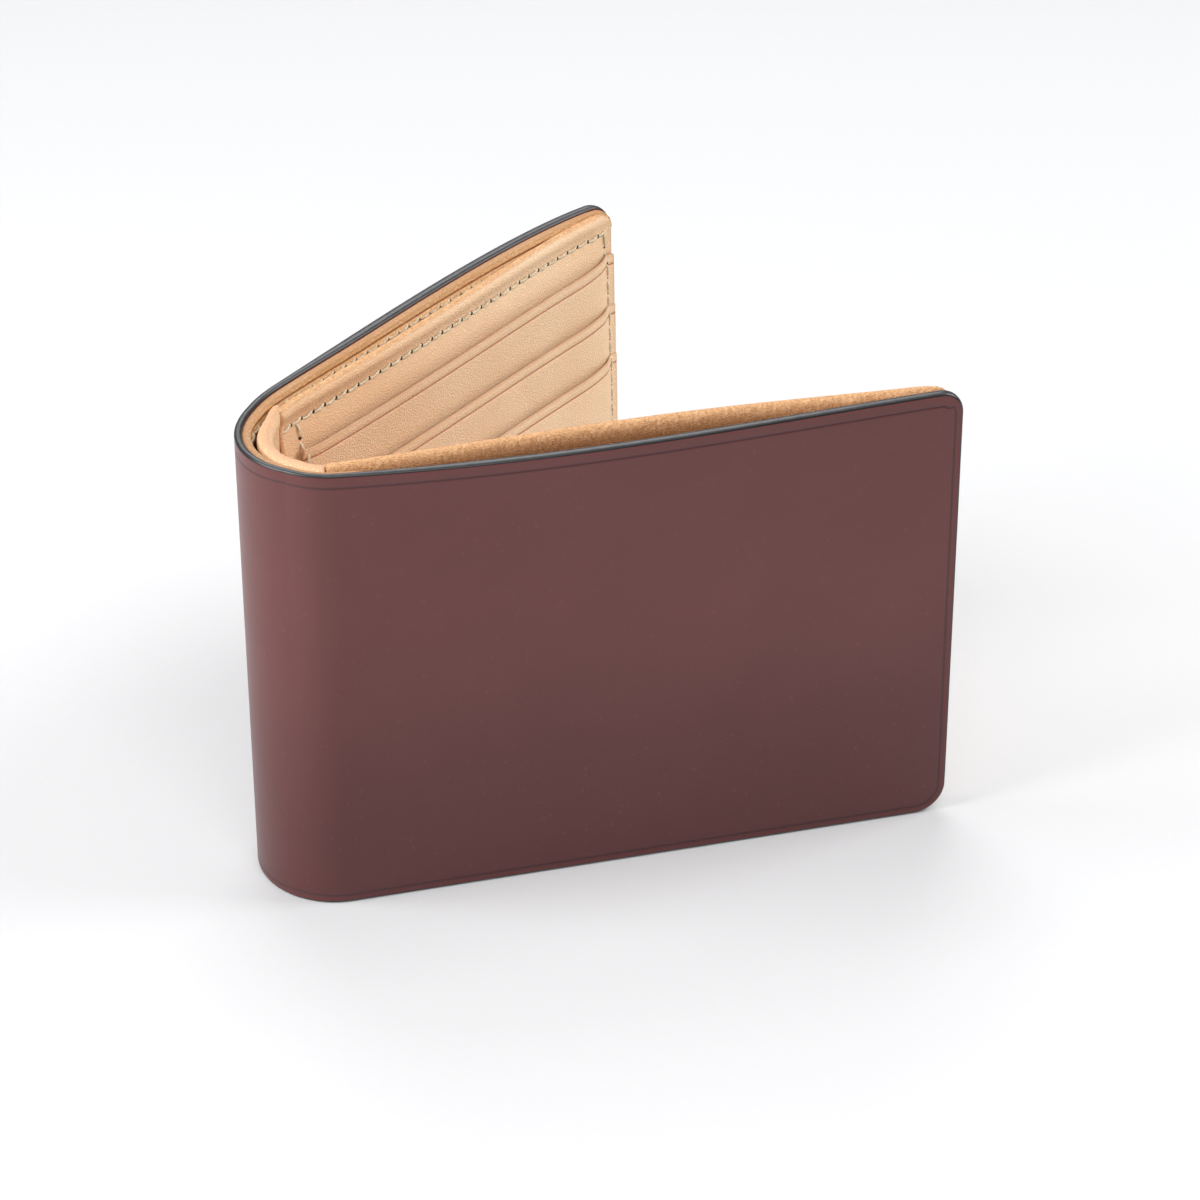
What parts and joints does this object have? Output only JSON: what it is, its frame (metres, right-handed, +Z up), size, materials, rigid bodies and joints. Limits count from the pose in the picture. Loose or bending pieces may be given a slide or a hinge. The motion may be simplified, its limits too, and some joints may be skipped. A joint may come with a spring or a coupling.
{
  "type": "bifold wallet",
  "caption": "Bifold wallet standing partly open: smooth burgundy leather cover with black painted edges and pale leather inside panels with card pockets.",
  "frame": {"origin": "middle of the spine, at the middle of the cover leather, on the plane the wallet stands on", "axes": "+Z up along the spine, +X from the spine towards the opening midway between the leaves, +Y towards the back leaf"},
  "size_m": [0.1065, 0.0965, 0.08],
  "materials": {
    "cover_leather": "satin, smooth burgundy with black painted edges",
    "lining_leather": "matte brown",
    "tan_leather": "matte tan",
    "suede_leather": "matte napped tan",
    "pale_leather": "matte natural",
    "thread": "waxed cream thread"
  },
  "bodies": {
    "front_leaf": {"cover_front": "cover_leather", "lining_front": "lining_leather", "facing_front": "tan_leather", "backing_front": "suede_leather", "panel_front": "pale_leather", "pocket_front_1": "pale_leather", "pocket_front_2": "pale_leather", "pocket_front_3": "pale_leather", "top_stitch_front": "thread", "edge_stitch_front": "thread", "spine_stitch_front": "thread", "facing_stitch_front": "thread"},
    "spine_1": {"cover_spine_1": "cover_leather", "lining_spine_1": "lining_leather", "facing_spine_1": "tan_leather"},
    "spine_2": {"cover_spine_2": "cover_leather", "lining_spine_2": "lining_leather", "facing_spine_2": "tan_leather"},
    "spine_3": {"cover_spine_3": "cover_leather", "lining_spine_3": "lining_leather", "facing_spine_3": "tan_leather", "hinge_band": "tan_leather"},
    "spine_4": {"cover_spine_4": "cover_leather", "lining_spine_4": "lining_leather", "facing_spine_4": "tan_leather"},
    "spine_5": {"cover_spine_5": "cover_leather", "lining_spine_5": "lining_leather", "facing_spine_5": "tan_leather"},
    "back_leaf": {"cover_back": "cover_leather", "lining_back": "lining_leather", "facing_back": "tan_leather", "backing_back": "suede_leather", "panel_back": "pale_leather", "pocket_back_1": "pale_leather", "pocket_back_2": "pale_leather", "pocket_back_3": "pale_leather", "top_stitch_back": "thread", "edge_stitch_back": "thread", "spine_stitch_back": "thread", "facing_stitch_back": "thread"}
  },
  "joints": [
    {"name": "fold_1", "type": "hinge", "parent": "spine_1", "child": "front_leaf", "pos_m": [0.00344, -0.01549, 0], "axis": [0, 0, -1], "range_deg": [-10.6, 33.84]},
    {"name": "fold_2", "type": "hinge", "parent": "spine_2", "child": "spine_1", "pos_m": [-0.00074, -0.00998, 0], "axis": [0, 0, -1], "range_deg": [-9.31, 29.71]},
    {"name": "fold_3", "type": "hinge", "parent": "spine_3", "child": "spine_2", "pos_m": [-0.00164, -0.00311, 0], "axis": [0, 0, -1], "range_deg": [-8.01, 25.57], "deforming": ["hinge_band"]},
    {"name": "fold_4", "type": "hinge", "parent": "spine_3", "child": "spine_4", "pos_m": [0.00052, 0.0035, 0], "axis": [0, 0, 1], "range_deg": [-6.71, 21.43]},
    {"name": "fold_5", "type": "hinge", "parent": "spine_4", "child": "spine_5", "pos_m": [0.00495, 0.00887, 0], "axis": [0, 0, 1], "range_deg": [-5.42, 17.3]},
    {"name": "fold_6", "type": "hinge", "parent": "spine_5", "child": "back_leaf", "pos_m": [0.0108, 0.01269, 0], "axis": [0, 0, 1], "range_deg": [-4.12, 13.16]}
  ],
  "couplings": [
    {"joint": "fold_2", "follows": "fold_1", "ratio": 0.87778},
    {"joint": "fold_3", "follows": "fold_1", "ratio": 0.75556},
    {"joint": "fold_4", "follows": "fold_1", "ratio": 0.63333},
    {"joint": "fold_5", "follows": "fold_1", "ratio": 0.51111},
    {"joint": "fold_6", "follows": "fold_1", "ratio": 0.38889}
  ]
}
